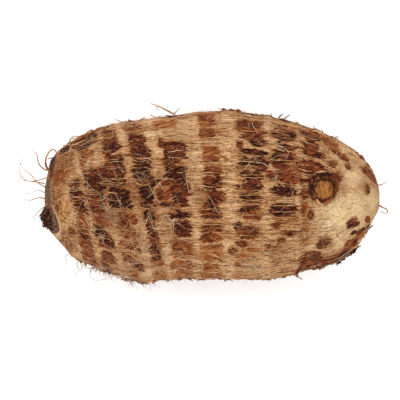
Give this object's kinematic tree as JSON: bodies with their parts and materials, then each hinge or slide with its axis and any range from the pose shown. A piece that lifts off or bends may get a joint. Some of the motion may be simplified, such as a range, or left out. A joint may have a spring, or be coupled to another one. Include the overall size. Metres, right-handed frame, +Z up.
{
  "type": "taro root",
  "caption": "Large barrel-shaped taro corm on its side, with leaf-scar rings, torn husk, a cut crown, a side bud and wiry rootlets.",
  "frame": {"origin": "middle of the small worn flat on the underside that the corm rests on", "axes": "+X along the corm from the cut crown to the old base end, +Z up"},
  "size_m": [0.2129, 0.1059, 0.1018],
  "materials": {
    "skin": "matt corky skin with torn brown husk and pale fibres"
  },
  "bodies": {
    "root": {"corm": "skin"}
  },
  "joints": []
}
